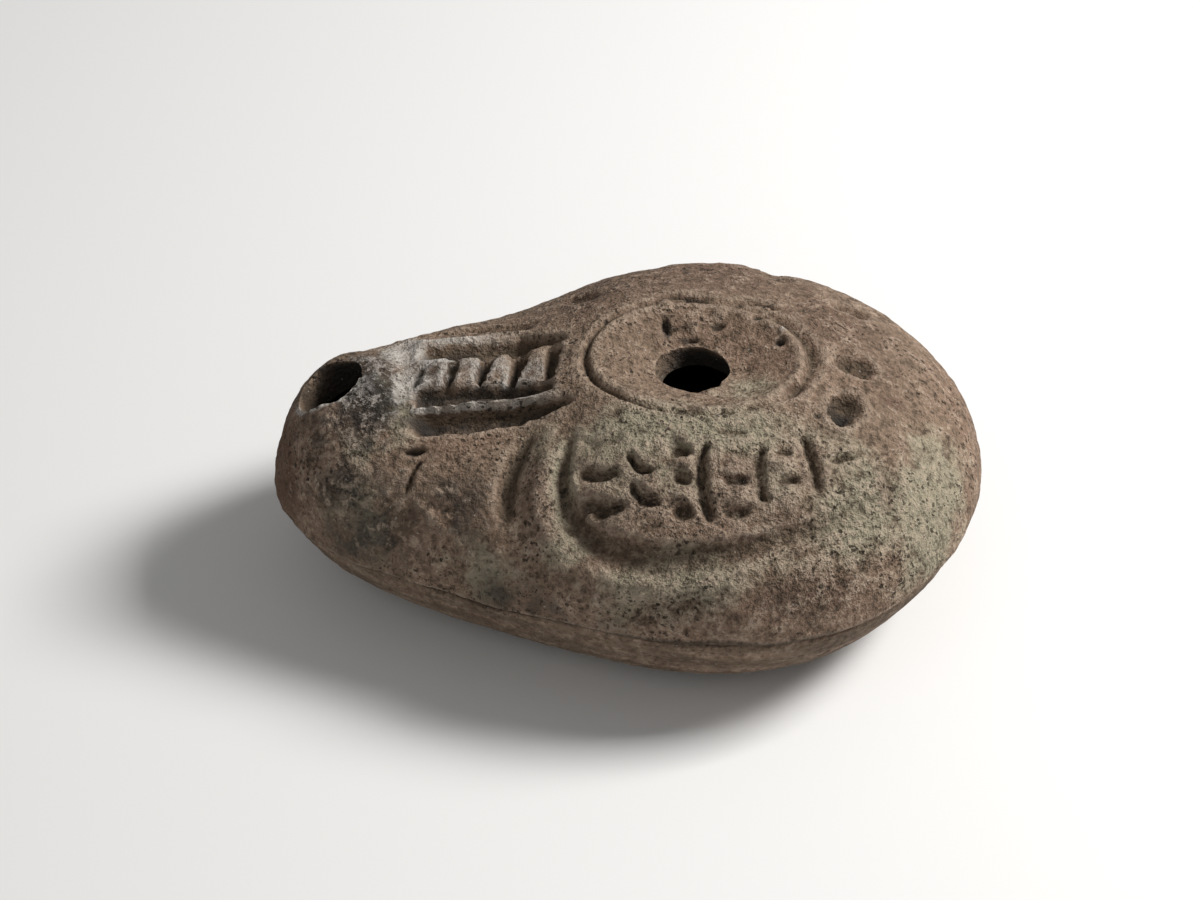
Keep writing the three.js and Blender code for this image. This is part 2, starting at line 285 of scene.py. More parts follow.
DIMPLES = [
    path([(28.3, 0.2), (29.2, -0.2)], 3.0, 1.7, 0),
    path([(27.0, -7.9), (26.2, -9.9)], 2.5, 2.4, 0),
    path([(28.4, 14.4), (30.6, 13.8)], 2.0, 1.3, 0),
    path([(-6.4, 16.2), (-5.0, 15.6)], 2.3, 0.9, 0),
    path([(20.6, -6.0), (20.2, -7.0)], 1.6, 0.8, 0),
    path([(23.1, -10.7)], 0.9, 0.8, 0),
    path([(9.6, -14.2), (12.2, -14.6), (14.8, -14.5)], [0.6, 1.1, 0.6], 0.6, 1.5),
]
NOZZLE_FORM = [
    path([(-34.4, 7.0), (-33.2, 1.2), (-34.0, -4.6)], 3.4, -1.1, 3),
    path([(-28.9, 12.0), (-28.2, 3.0), (-28.2, -7.0)], 2.4, 0.6, 3),
]
NOZZLE_MARKS = [
    path([(-28.4, -11.0), (-26.8, -11.3), (-25.4, -11.0)], [0.4, 0.8, 0.3], 1.0, 0.5),
    path([(-25.8, -12.2), (-27.2, -13.6), (-28.2, -16.0)], [0.3, 0.6, 0.4], 0.9, 1),
    path([(-27.3, -16.2), (-25.5, -17.8), (-23.4, -19.6)], 0.6, -0.4, 1),
    path([(-8.4, -27.9), (-7.2, -28.6)], 0.45, 0.5, 0.4),
    path([(41.6, 1.8), (42.6, -0.6)], 0.9, 0.7, 0.6),
    path([(34.6, -8.0), (36.0, -8.6)], 0.5, 0.5, 0.5),
]
# The far side is smooth as far down as it shows. Its lower shoulder is hidden, and is kept plain.
FAR_SHOULDER = [
    path([(4.5, 26.5), (17.5, 25.5)], 5.0, -0.45, 2),
    path([(19.6, 28.5), (21.4, 19.0)], 2.8, 0.9, 3),
]
FAR_GROOVE = path(
    [(-8.0, 25.6), (-4.0, 29.0), (4.0, 31.2), (12.0, 31.2), (19.0, 29.4), (25.5, 25.8)], 1.5, 1.0, 4
)
FAR_STROKE = path([(5.5, 25.6), (5.4, 29.4)], 0.9, 0.9, 1.5)


def round_discus(turn, radius):
    """Plan points round the discus, at angles from the back."""
    across = radius * DISCUS_SQUASH * np.sin(turn)
    return [tuple(point) for point in np.c_[DISCUS_X + radius * np.cos(turn), DISCUS_Y + across]]


def ring_groove():
    """The groove round the discus: narrow and deep towards the nozzle, wide and soft at the back."""
    turn = np.linspace(0, 2 * math.pi, 49)
    points = round_discus(turn, DISCUS_RADIUS + 0.35 * (1 + np.cos(turn)) / 2)
    # From the back, round the far side to the nozzle, and back along the near side
    half_width = [1.6, 1.4, 0.9, 0.8, 0.8, 0.8, 0.65, 0.9, 1.6]
    depth = [1.2, 0.9, 0.6, 0.5, 1.2, 1.1, 0.5, 0.5, 1.2]
    return path(points, half_width, depth, 0)


def back_lip():
    """The raised lip inside the groove, at the back of the discus."""
    turn = np.linspace(-1.1, 1.2, 15)
    return path(round_discus(turn, DISCUS_RADIUS - 0.9), 1.3, -0.3, 7)


# Groups of paths that are carved together, each with how flat its floor is and how ragged its
# edge. Where two paths of a group meet, the nearer one counts.
CARVING = {
    "nozzle_form": (NOZZLE_FORM, 0.0, 0.1),
    "far_shoulder": (FAR_SHOULDER, 0.0, 0.2),
    "ring": ([ring_groove()], 0.0, 0.25),
    "lip": ([back_lip()], 0.0, 0.25),
    "channel": (CHANNEL, 0.55, 0.35),
    "rails": (RAILS, 0.0, 0.35),
    "step_cuts": (STEP_CUTS, 0.45, 0.35),
    "panel_grooves": ([PANEL_GROOVE, CRESCENT, FAR_GROOVE], 0.1, 0.25),
    "far_stroke": ([FAR_STROKE], 0.1, 0.3),
    "panel_ridges": ([PANEL_RIDGE], 0.0, 0.2),
    "pillows": (PILLOWS, 0.2, 0.6),
    "uprights": (UPRIGHTS, 0.0, 0.6),
    "bars": (BARS, 0.05, 0.65),
    "discus_relief": (DISCUS_RELIEF, 0.3, 0.5),
    "discus_marks": (DISCUS_MARKS, 0.2, 0.6),
    "dimples": (DIMPLES, 0.2, 0.4),
    "nozzle_marks": (NOZZLE_MARKS, 0.1, 0.6),
}


def spread(values, count):
    """One number, or a number for each knot, as numbers for a line of so many points."""
    knots = np.atleast_1d(np.array(values, float))
    return np.interp(np.linspace(0, 1, count), np.linspace(0, 1, len(knots)), knots)


def spline(knots):
    """Points a step apart along a smooth curve through the knots (Catmull-Rom)."""
    knots = np.array(knots, float)
    if len(knots) == 1:
        return knots
    padded = np.concatenate([2 * knots[:1] - knots[1:2], knots, 2 * knots[-1:] - knots[-2:-1]])
    line = []
    for a, b, c, d in zip(padded, padded[1:], padded[2:], padded[3:]):
        t = np.linspace(0, 1, max(int(np.linalg.norm(c - b) / PATH_STEP), 2), endpoint=False)[:, None]
        cubic = 3 * b - a - 3 * c + d
        line.append(b + 0.5 * ((c - a) * t + (2 * a - 5 * b + 4 * c - d) * t**2 + cubic * t**3))
    return np.concatenate([*line, knots[-1:]])


def path_object(name, paths):
    """A helper mesh of loose points in plan, with the half width and depth of the path at each."""
    points, widths, depths = [], [], []
    for one in paths:
        line = spline(one["points"])
        reach = np.r_[0, np.cumsum(np.linalg.norm(np.diff(line, axis=0), axis=1))]
        fade = smooth(-0.05, 1, np.minimum(reach, reach[-1] - reach) / max(one["fade"], 1e-6))
        points.append(line)
        widths.append(spread(one["half_width"], len(line)))
        depths.append(spread(one["depth"], len(line)) * (fade if one["fade"] and len(line) > 1 else 1))
    flat = np.c_[np.concatenate(points), np.zeros(sum(map(len, points)))] * MM
    mesh = bpy.data.meshes.new(name)
    mesh.from_pydata(flat.tolist(), [], [])
    set_attribute(mesh, "half_width", np.concatenate(widths) * MM)
    set_attribute(mesh, "depth", np.concatenate(depths) * MM)
    return add_object(name, mesh)


def add_object(name, data):
    thing = bpy.data.objects.new(name, data)
    bpy.context.scene.collection.objects.link(thing)
    return thing


def set_attribute(mesh, name, values):
    """Stores a number or a vector at each vertex."""
    vector = np.ndim(values) == 2
    attribute = mesh.attributes.new(name, "FLOAT_VECTOR" if vector else "FLOAT", "POINT")
    attribute.data.foreach_set("vector" if vector else "value", np.ravel(values).astype(np.float32))


def get_attribute(mesh, name):
    values = np.empty(len(mesh.vertices), np.float32)
    mesh.attributes[name].data.foreach_get("value", values)
    return values.astype(float)


def vertex_places(mesh):
    places = np.empty(len(mesh.vertices) * 3, np.float32)
    mesh.vertices.foreach_get("co", places)
    return places.reshape(-1, 3).astype(float)


# Node trees


class Value:
    """A number in a node tree. Sums, products and the like of it add Math nodes to the tree."""

    def __init__(self, graph, socket):
        self.graph = graph
        self.socket = socket

    def _math(self, operation, *values, **settings):
        inputs = dict(enumerate(values))
        return self.graph.add("ShaderNodeMath", {"operation": operation, **settings}, inputs).value()

    def __add__(self, other):
        return self._math("ADD", self, other)

    def __radd__(self, other):
        return self._math("ADD", other, self)

    def __sub__(self, other):
        return self._math("SUBTRACT", self, other)

    def __rsub__(self, other):
        return self._math("SUBTRACT", other, self)

    def __mul__(self, other):
        return self._math("MULTIPLY", self, other)

    def __rmul__(self, other):
        return self._math("MULTIPLY", other, self)

    def __truediv__(self, other):
        return self._math("DIVIDE", self, other)

    def __neg__(self):
        return self._math("MULTIPLY", self, -1)

    def clamped(self):
        return self._math("ADD", self, 0, use_clamp=True)

    def step(self, low, high):
        """0 below low and 1 above high, with a smooth change between them."""
        settings = {"interpolation_type": "SMOOTHSTEP"}
        inputs = {"Value": self, "From Min": low, "From Max": high, "To Min": 0.0, "To Max": 1.0}
        return self.graph.add("ShaderNodeMapRange", settings, inputs).value("Result")


def pick(sockets, name):
    """One of the sockets that are in use, by its name or by its place among them."""
    enabled = [s for s in sockets if s.enabled]
    return enabled[name] if isinstance(name, int) else next(s for s in enabled if s.name == name)


class Added:
    """A node that has been added, whose outputs are named."""

    def __init__(self, graph, node):
        self.graph = graph
        self.node = node

    def value(self, name=0):
        return Value(self.graph, self.socket(name))

    def socket(self, name=0):
        return pick(self.node.outputs, name)


class Graph:
    """A node tree that is written as expressions."""

    def __init__(self, tree):
        self.tree = tree

    def add(self, kind, settings=None, inputs=None):
        """Adds a node of a type: its settings first, then the values or links of its inputs."""
        node = self.tree.nodes.new(kind)
        for name, value in (settings or {}).items():
            setattr(node, name, value)
        for name, value in (inputs or {}).items():
            self.feed(pick(node.inputs, name), value)
        return Added(self, node)

    def feed(self, socket, value):
        if isinstance(value, Value):
            value = value.socket
        if isinstance(value, Added):
            value = value.socket()
        if isinstance(value, bpy.types.NodeSocket):
            self.tree.links.new(value, socket)
        else:
            socket.default_value = value


class Geometry(Graph):
    """A Geometry Nodes tree with named inputs, ending in Realize Instances and Set Material."""

    def __init__(self, name, **inputs):
        super().__init__(bpy.data.node_groups.new(name, "GeometryNodeTree"))
        sockets = {"Geometry": "NodeSocketGeometry", **inputs}
        for label, kind in sockets.items():
            self.tree.interface.new_socket(label, in_out="INPUT", socket_type=kind)
        self.tree.interface.new_socket("Geometry", in_out="OUTPUT", socket_type="NodeSocketGeometry")
        self.input = self.tree.nodes.new("NodeGroupInput")

    def given(self, label):
        return self.input.outputs[label]

    def number(self, label):
        return Value(self, self.given(label))

    def named(self, attribute, kind="FLOAT"):
        return self.add("GeometryNodeInputNamedAttribute", {"data_type": kind}, {"Name": attribute})

    def sample(self, points, value, index, kind="FLOAT"):
        """The value at the point of that index."""
        settings = {"data_type": kind, "domain": "POINT"}
        inputs = {"Geometry": points, "Value": value, "Index": index}
        return self.add("GeometryNodeSampleIndex", settings, inputs)

    def end(self, geometry, material):
        real = self.add("GeometryNodeRealizeInstances", {}, {"Geometry": geometry})
        dressed = self.add("GeometryNodeSetMaterial", {}, {"Geometry": real, "Material": material})
        output = self.tree.nodes.new("NodeGroupOutput")
        self.tree.links.new(dressed.socket(), output.inputs["Geometry"])


def sink_along(graph, geometry, amount):
    """Adds an amount to each vertex's stored carving, and moves it in by that along its outward."""
    inputs = {"Vector": graph.named("outward", "FLOAT_VECTOR").socket(), "Scale": -amount}
    offset = graph.add("ShaderNodeVectorMath", {"operation": "SCALE"}, inputs)
    total = graph.named("carved").value() + amount
    settings = {"data_type": "FLOAT", "domain": "POINT"}
    inputs = {"Geometry": geometry, "Name": "carved", "Value": total}
    stored = graph.add("GeometryNodeStoreNamedAttribute", settings, inputs)
    return graph.add("GeometryNodeSetPosition", {}, {"Geometry": stored, "Offset": offset})


def nearest(graph, points, place):
    """The nearest of the points to a place: its index, and how far away it is."""
    inputs = {"Geometry": points, "Sample Position": place}
    index = graph.add("GeometryNodeSampleNearest", {"domain": "POINT"}, inputs)
    position = graph.add("GeometryNodeInputPosition").socket()
    there = graph.sample(points, position, index, "FLOAT_VECTOR")
    apart = graph.add("ShaderNodeVectorMath", {"operation": "DISTANCE"}, {0: place, 1: there})
    return index, apart.value("Value")


def carving_tree(material):
    """Cuts the top of the lamp along paths in plan, each with its own width and depth."""
    numbers = dict.fromkeys(("Flat share", "Raggedness", "Seam height"), "NodeSocketFloat")
    graph = Geometry("Carve along paths", Paths="NodeSocketObject", **numbers)
    paths = graph.add("GeometryNodeObjectInfo", {}, {"Object": graph.given("Paths")}).socket("Geometry")
    position = graph.add("GeometryNodeInputPosition").socket()
    place = graph.add("ShaderNodeSeparateXYZ", {}, {"Vector": position})
    in_plan = {"X": place.value("X"), "Y": place.value("Y")}
    flat = graph.add("ShaderNodeCombineXYZ", {}, in_plan).socket()
    index, apart = nearest(graph, paths, flat)
    half_width = graph.sample(paths, graph.named("half_width").value(), index).value()
    depth = graph.sample(paths, graph.named("depth").value(), index).value()
    seam = graph.number("Seam height")
    on_top = place.value("Z").step(seam, seam + 3 * MM)
    uneven = {"Vector": position, "Scale": 0.6 / (1.2 * MM), "Detail": 3.0, "Roughness": 0.6}
    uneven = graph.add("ShaderNodeTexNoise", {}, uneven).value() - 0.5
    reach = apart / half_width + uneven * graph.number("Raggedness") * 2
    inside = 1 - reach.step(graph.number("Flat share"), 1)
    amount = depth * inside * on_top * (1 + uneven * 0.8)
    graph.end(sink_along(graph, graph.given("Geometry"), amount), material)
    return graph.tree


def pitting_tree(material):
    """Scatters round pits over the surface, of seeded sizes."""
    numbers = dict.fromkeys(("Density", "Smallest", "Largest", "Steepness"), "NodeSocketFloat")
    graph = Geometry("Scatter pits", **numbers, Seed="NodeSocketInt")
    surface = graph.given("Geometry")
    seed = graph.given("Seed")
    patchy = graph.add("ShaderNodeTexNoise", {}, {"Scale": 0.6 / (7 * MM), "Detail": 2.0}).value()
    density = graph.number("Density") * (0.2 + 2 * patchy.step(0.42, 0.62))
    spread_points = graph.add(
        "GeometryNodeDistributePointsOnFaces",
        {"distribute_method": "RANDOM"},
        {"Mesh": surface, "Density": density, "Seed": seed},
    )
    limits = {"Min": graph.given("Smallest"), "Max": graph.given("Largest"), "Seed": seed}
    random = graph.add("FunctionNodeRandomValue", {"data_type": "FLOAT"}, limits)
    settings = {"data_type": "FLOAT", "domain": "POINT"}
    sized = {"Geometry": spread_points.socket("Points"), "Name": "radius_of_pit", "Value": random}
    points = graph.add("GeometryNodeStoreNamedAttribute", settings, sized).socket()
    position = graph.add("GeometryNodeInputPosition").socket()
    index, apart = nearest(graph, points, position)
    radius = graph.sample(points, graph.named("radius_of_pit").value(), index).value()
    inside = 1 - (apart / radius).step(0.2, 1)
    graph.end(sink_along(graph, surface, radius * inside * graph.number("Steepness")), material)
    return graph.tree


def add_nodes(thing, name, tree, values):
    """Adds a Geometry Nodes modifier and sets its inputs by their identifiers."""
    modifier = thing.modifiers.new(name, "NODES")
    modifier.node_group = tree
    identifiers = {s.name: s.identifier for s in tree.interface.items_tree if s.in_out == "INPUT"}
    for label, value in values.items():
        modifier[identifiers[label]] = value


def plain_mesh(thing, name):
    """The object's mesh with its modifiers applied, as a new mesh."""
    bpy.context.view_layer.update()
    depsgraph = bpy.context.evaluated_depsgraph_get()
    evaluated = thing.evaluated_get(depsgraph)
    mesh = bpy.data.meshes.new_from_object(
        evaluated, preserve_all_data_layers=True, depsgraph=depsgraph
    )
    mesh.name = name
    return mesh


# The lamp's surfaces


def closed_grid(rings, ends):
    """A closed mesh from rings of points along the lamp, with a point at each end."""
    count, around = rings.shape[:2]
    points = np.concatenate([rings.reshape(-1, 3), ends])
    i, j = np.meshgrid(np.arange(count - 1), np.arange(around), indexing="ij")
    k = (j + 1) % around
    quads = np.stack([i * around + j, (i + 1) * around + j, (i + 1) * around + k, i * around + k], -1)
    j = np.arange(around)
    k = (j + 1) % around
    first, last = count * around, count * around + 1
    start = np.stack([np.full(around, first), j, k], -1)
    end = np.stack([np.full(around, last), (count - 1) * around + k, (count - 1) * around + j], -1)
    return points, quads.reshape(-1, 4).tolist() + start.tolist() + end.tolist()


def stations(count, inset):
    """Places along X, closer together where the outline turns in at the two ends."""
    x = -np.cos(np.linspace(0, math.pi, 4001)) * (HALF_LENGTH - inset)
    half_width, crown, _, _ = section(x, inset)
    steps = np.sqrt(np.diff(x) ** 2 + 0.5 * np.diff(half_width) ** 2 + 0.5 * np.diff(crown) ** 2)
    reach = np.r_[0, np.cumsum(steps)]
    return np.interp(np.linspace(0, reach[-1], count + 2)[1:-1], reach, x)


def rings_at(x, angles, inset=0.0):
    """Points of the form's sections at x, at angles from the top of each section."""
    half_width, crown, depth, seam = (value[:, None] for value in section(x, inset))
    across, up = np.sin(angles)[None], np.cos(angles)[None]
    z = seam + np.where(up > 0, crown, depth) * up
    return np.stack([np.broadcast_to(x[:, None], z.shape), half_width * across, z], -1)


def end_points(inset=0.0):
    reach = HALF_LENGTH - inset
    return np.array([(x, 0, SEAM_HEIGHT + SEAM_RISE * x / HALF_LENGTH) for x in (-reach, reach)])


def grid_normals(rings):
    along = np.gradient(rings, axis=0)
    padded = np.concatenate([rings[:, -1:], rings, rings[:, :1]], axis=1)
    around = (padded[:, 2:] - padded[:, :-2]) / 2
    normals = np.cross(along, around)
    return normals / np.maximum(np.linalg.norm(normals, axis=-1, keepdims=True), 1e-9)


def off_axis(points, centre, lean):
    """Distance of each point from a punch's axis, which leans from upright by some degrees."""
    axis = np.array([-math.sin(math.radians(lean)), 0, math.cos(math.radians(lean))])
    return np.linalg.norm(np.cross(points - centre, axis), axis=1)


def shape_top(points):
    """Sinks the discus into the crown, and rounds the edges of both holes."""
    x, y, z = points.T
    top = smooth(0, 3, z - SEAM_HEIGHT)
    out = np.hypot(x - DISCUS_X, (y - DISCUS_Y) / DISCUS_SQUASH)
    towards_lip = np.clip((out - FILL_RADIUS) / (DISCUS_RADIUS - LIP_INSET - FILL_RADIUS), 0, 1) ** 1.8
    sink = mix(DISH_DEPTH, LIP_DEPTH, towards_lip) * smooth(*DISCUS_EDGE, out)
    (worn_x, worn_y), (spread_x, spread_y) = WORN_SPOT["at"], WORN_SPOT["spread"]
    sink += WORN_SPOT["depth"] * hump(x, worn_x, spread_x) * hump(y, worn_y, spread_y)
    for centre, radius, lean, soft in HOLES:
        past_edge = np.maximum(off_axis(points, centre, lean) - radius, 0)
        sink += soft * hump(past_edge, 0, 0.9)
    z -= top * sink


def shape_base(points):
    """Flattens the underside with a soft edge, and cuts the shallow line near its edge."""
    x, y, z = points.T
    soft = np.maximum(z + BASE_FILLET, 0) ** 2 / (4 * BASE_FILLET)
    z[:] = np.where(z > BASE_FILLET, z, soft)
    from_line = BASE_LINE[2] * np.abs(np.hypot((x - BASE_LINE[0]) / BASE_LINE[1], y / BASE_LINE[2]) - 1)
    z += np.where(z < 0.1, BASE_LINE_DEPTH * (1 - smooth(0.2, 1.3, from_line)), 0)


def shape_wear(points, normals):
    """Moves the surface by lumps and dents, more on the nozzle and the panel, and steps it in under
    the seam. Returns how far each point is above the seam."""
    x, y, z = points.T
    rough = mix(1.0, 1.7, smooth(-12, -28, x)) * mix(0.6, 1.0, smooth(12, 17, z))
    rough = rough + 1.4 * hump(x, 9, 17) * hump(y, -21, 6)
    lumps = 0.16 * layered_noise(points, 9.0, 11) + 0.09 * rough * layered_noise(points, 2.8, 23)
    lumps += 0.1 * rough * layered_noise(points, 1.2, 31)
    seam = SEAM_HEIGHT + SEAM_RISE * x / HALF_LENGTH - 0.2
    above = z - seam - 0.5 * lattice_noise(points, 6.0, 5)
    step = SEAM_STEP * smooth(0.4, -0.2, above) * smooth(4, 10, z)
    broken = mix(0.4, 1.0, smooth(-0.4, 0.4, lattice_noise(points, 9.0, 15)))
    line = SEAM_LINE_DEPTH * hump(above, -0.25, 0.5) * broken
    points += normals * (lumps - step - line)[:, None] * smooth(0.2, 3, z)[:, None]
    return above


def outer_surface():
    """The outside before carving: its places, outward directions, heights over the seam, faces."""
    over = np.linspace(-math.pi / 2, math.pi / 2, ROWS_OVER_TOP, endpoint=False)
    under = np.linspace(math.pi / 2, 3 * math.pi / 2, ROWS_UNDER, endpoint=False)
    rings = rings_at(stations(ROWS_ALONG, 0), np.r_[over, under])
    points, faces = closed_grid(rings, end_points())
    shape_top(points)
    shape_base(points)
    shaped = points[:-2].reshape(rings.shape)
    normals = np.concatenate([grid_normals(shaped).reshape(-1, 3), [(-1, 0, 0), (1, 0, 0)]])
    over_seam = shape_wear(points, normals)
    return points, normals, over_seam, faces


def mesh_from(name, points, faces):
    mesh = bpy.data.meshes.new(name)
    mesh.from_pydata((points * MM).tolist(), [], faces)
    return mesh


def hollow_mesh():
    """The space inside: the form inset by the wall, with a flat floor, under the discus."""
    angles = np.linspace(-math.pi / 2, 3 * math.pi / 2, HOLLOW_ROWS_AROUND, endpoint=False)
    rings = rings_at(stations(HOLLOW_ROWS_ALONG, WALL), angles, WALL)
    points, faces = closed_grid(rings, end_points(WALL))
    x, y, z = points.T
    out = np.hypot(x - DISCUS_X, (y - DISCUS_Y) / DISCUS_SQUASH)
    ceiling = crown_height(x, y) - WALL - mix(DISH_DEPTH, 0, smooth(3.0, DISCUS_EDGE[0], out))
    upper = np.minimum(z, np.maximum(ceiling, SEAM_HEIGHT + 1))
    z[:] = np.where(z > SEAM_HEIGHT, upper, np.maximum(z, WALL))
    points += layered_noise(points, 6.0, 41)[:, None] * (0, 0.25, 0.2)
    return mesh_from("hollow", points, faces)


def punch_mesh(name, centre, radius, lean):
    """A round punch, a little uneven: its lower end leans towards the back by some degrees."""
    turn = np.linspace(0, -2 * math.pi, PUNCH_SIDES, endpoint=False)
    lean = math.radians(lean)
    axis = np.array([-math.sin(lean), 0, math.cos(lean)])
    side = np.array([math.cos(lean), 0, math.sin(lean)])
    ring = radius * (np.cos(turn)[:, None] * side + np.sin(turn)[:, None] * np.array([0, 1, 0]))
    heights = np.linspace(-PUNCH_LENGTH / 2, PUNCH_LENGTH / 2, PUNCH_ROWS)
    rings = np.array([centre + ring + height * axis for height in heights])
    ends = np.array([centre + height * axis for height in heights[[0, -1]]])
    points, faces = closed_grid(rings, ends)
    outward = points - centre
    outward -= (outward @ axis)[:, None] * axis
    points += outward / radius * (0.14 * layered_noise(points, 3.2, 61))[:, None]
    return mesh_from(name, points, faces)


# The clay's finish, with painted shade and highlights in places


# Where the finish changes: for each kind of patch, the middles, reaches and strengths of its parts.
# The marks patch paints shade with dirt into carved marks and two dimples, the lip patch paints
# highlights with pale deposit on the channel's rail crests, the ledge patch widens the painted
# shadow along the seam, and parts of the soot patch paint shade into the channel's grooves and a
# dimple.
PATCHES = {
    "ash": [
        ((-32.5, 0.5, 30), (4.6, 8, 4.5), 1.0),
        ((-26.0, 1.5, 30), (4.5, 7.5, 4), 0.8),
        ((-17.0, 1.0, 30), (8, 6, 3), 0.45),
    ],
    "soot": [
        ((-33.5, -4.0, 28), (4.5, 6, 4), 0.85),
        ((-36.5, -11.5, 21.5), (5.5, 3.5, 3.5), 0.66),
        ((-34.5, -14.5, 16), (6, 5, 4), 0.58),
        ((-28.5, -17.5, 20), (6, 4, 6), 0.5),
        ((-20.5, -17.0, 22), (7, 6, 6), 0.42),
        ((-39.5, 0.5, 28), (6, 8, 6), 0.5),
        # The next six parts lie in the channel's grooves: painted shade with soot
        ((-25.5, -7.2, 25.5), (4.2, 1.9, 2.5), 1.0),
        ((-19.0, -2.6, 27), (8.5, 1.9, 2.0), 0.95),
        ((-25.5, -2.8, 27), (3.5, 1.8, 2.5), 1.0),
        ((-19.5, -6.7, 27.8), (8.5, 1.3, 2.6), 0.85),
        ((-16.0, -7.0, 26.5), (8, 1.7, 2.0), 0.6),
        ((-22.0, 6.4, 27), (6, 1.8, 2), 0.6),
        ((-14.0, -1.0, 28), (9, 6, 3), 0.35),
        ((-10.0, -27.0, 16), (14, 6, 4), 0.45),
        # In the near dimple and a carved mark by the channel: painted shade with dirt
        ((26.2, -8.8, 30), (2.2, 1.9, 2.4), 0.62),
        ((-26.9, -11.1, 26), (1.8, 0.8, 2), 0.9),
    ],
    # Carved marks on the discus and channel and two dimples: painted shade with dirt
    "marks": [
        ((16.9, 7.6, 31), (0.9, 0.6, 8), 1.0),
        ((19.4, 3.2, 31), (0.8, 0.7, 8), 1.0),
        ((5.1, 6.4, 31), (0.7, 2.2, 8), 0.8),
        ((7.8, 4.8, 31), (2.2, 0.6, 8), 0.7),
        ((11.5, 7.1, 31), (1.4, 0.5, 8), 0.7),
        ((7.5, 11.6, 31), (3.8, 0.5, 8), 0.75),
        ((16.5, 10.7, 31), (3.4, 0.5, 8), 0.85),
        ((-2.6, 6.5, 31), (0.5, 0.6, 8), 0.8),
        ((23.1, -10.7, 30), (0.8, 0.7, 3), 0.8),
        ((-27.0, -6.8, 26.8), (2.8, 1.7, 2.8), 1.0),
        ((-22.5, -6.3, 27.0), (5.0, 0.8, 1.6), 0.6),
        ((26.7, -8.8, 29), (1.7, 1.5, 4), 0.6),
    ],
    "tip": [((-45.0, -4.0, 19), (4.5, 11, 7), 1.0)],
    "lime": [
        ((-28.8, 7.8, 28.5), (3.2, 5.8, 4), 1.0),
        ((-28.2, 0.6, 29.0), (2.2, 4.8, 3), 0.9),
        ((-25.6, 4.6, 28.8), (2.0, 1.8, 2), 0.75),
        ((19.9, 5.0, 31), (0.6, 0.6, 8), 1.0),
    ],
    # Crests of the channel's rails: painted highlight with pale deposit
    "lip": [
        ((-26.0, -5.3, 28.4), (3.2, 0.9, 2.5), 1.0),
        ((-20.0, -5.0, 29.5), (4.0, 0.9, 2.5), 1.0),
        ((-13.5, -5.0, 30.2), (4.0, 0.9, 2.5), 0.7),
        ((-23.0, 9.4, 28.3), (6.0, 0.9, 2.5), 0.9),
    ],
    "crust": [
        ((-28.4, -6.5, 28), (2.2, 5, 4), 0.9),
        ((6.0, -13.5, 31), (20, 4.5, 5), 0.9),
        ((-8.4, -18.0, 27), (1.9, 9, 8), 0.85),
        ((-8.0, -25.5, 22), (4, 3, 5), 0.6),
        ((4.0, -31.0, 22), (16, 4.0, 6), 0.8),
        ((28.0, -22.0, 26), (14, 9, 7), 0.95),
        ((36.0, -19.0, 22), (11, 11, 8), 1.0),
        ((-18.0, -23.0, 18), (10, 6, 6), 0.45),
        ((14.0, -5.0, 32), (7, 4.5, 4), 0.45),
        ((4.0, -20.0, 29), (12, 6, 4), 0.42),
        ((-33.0, -9.5, 25), (4, 3, 3), 0.5),
        ((-34.0, -14.0, 19), (9, 8, 8), 0.42),
        ((-30.8, -2.0, 29.5), (1.5, 5, 3), 0.7),
    ],
    "rust": [
        ((20.0, -31.0, 20.5), (8, 4.5, 2.6), 1.0),
        ((12.5, -21.0, 29), (3.2, 4, 4), 0.75),
        ((19.0, -24.5, 27), (5.5, 2.4, 3), 0.8),
        ((24.0, -12.0, 31), (4, 3, 3), 0.5),
        ((20.4, -6.4, 31), (2.0, 1.8, 3), 0.9),
        ((28.8, 0.0, 30), (3.0, 2.6, 3), 0.8),
        ((29.5, 14.1, 27), (3.4, 2.0, 3), 0.75),
        ((-5.7, 15.9, 29), (2.6, 2.2, 3), 0.9),
        ((33.0, -5.5, 29), (2.4, 1.1, 3), 0.7),
        ((31.0, -19.0, 27), (1.8, 4.0, 4), 0.6),
        ((-12.0, -19.0, 26), (1.4, 7, 8), 0.7),
    ],
    "umber": [
        ((2.0, 19.0, 31), (26, 10, 7), 1.0),
        ((27.0, 9.0, 31), (14, 13, 6), 0.75),
        ((9.0, 4.0, 33), (12, 9, 4), 0.52),
        ((-11.0, 0.0, 31), (6, 10, 4), 0.5),
        ((32.0, -5.0, 30), (9, 5, 5), 0.4),
    ],
    # How wide the painted shadow under the seam's overhang is
    "ledge": [((10.0, -34.0, 15), (16, 8, 6), 1.0)],
    "crumbly": [
        ((9.0, -21.0, 27), (19, 7, 8), 1.0),
        ((22.0, -29.0, 21), (14, 6, 6), 0.9),
        ((4.0, -31.0, 21), (16, 4, 6), 0.8),
        ((12.0, -12.0, 31), (16, 3, 5), 0.6),
        ((-36.0, -9.0, 24), (7, 6, 7), 0.7),
    ],
    "scorched": [
        ((-36.0, -8.5, 23), (8, 8, 9), 1.0),
        ((-27.0, -16.0, 20), (9, 8, 8), 0.7),
    ],
}


def patch_strength(points, parts):
    strength = np.zeros(len(points))
    for middle, reach, amount in parts:
        away = np.sum(((points - middle) / reach) ** 2, axis=1)
        strength = np.maximum(strength, amount * np.exp(-away))
    return strength


